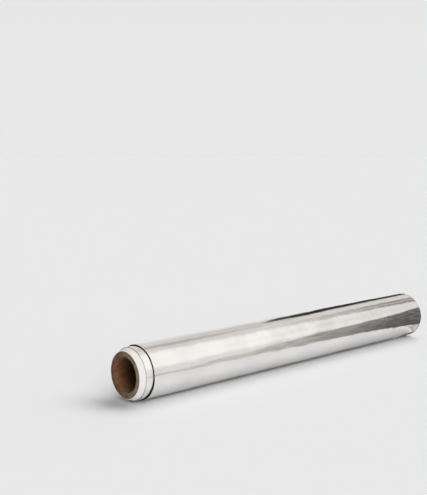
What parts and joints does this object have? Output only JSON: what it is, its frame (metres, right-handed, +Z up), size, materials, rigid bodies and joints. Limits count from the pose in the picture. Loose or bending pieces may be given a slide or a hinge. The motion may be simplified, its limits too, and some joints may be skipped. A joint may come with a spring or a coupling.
{
  "type": "aluminium foil roll",
  "caption": "Roll of bright aluminium foil on a brown card core, lying on its side, its turns slid along so that the core shows at one end.",
  "frame": {"origin": "on the surface that the roll lies on, under the middle of the roll", "axes": "+X along the roll, with the end that shows the core at -X; +Y away from the side that faces the viewer; +Z up"},
  "size_m": [0.465, 0.0565, 0.0562],
  "materials": {
    "core_card": "plain brown board, cut ends",
    "foil": "bright rolled foil, bright side out"
  },
  "bodies": {
    "root": {"cardboard_core": "core_card", "foil_winding": "foil"}
  },
  "joints": []
}
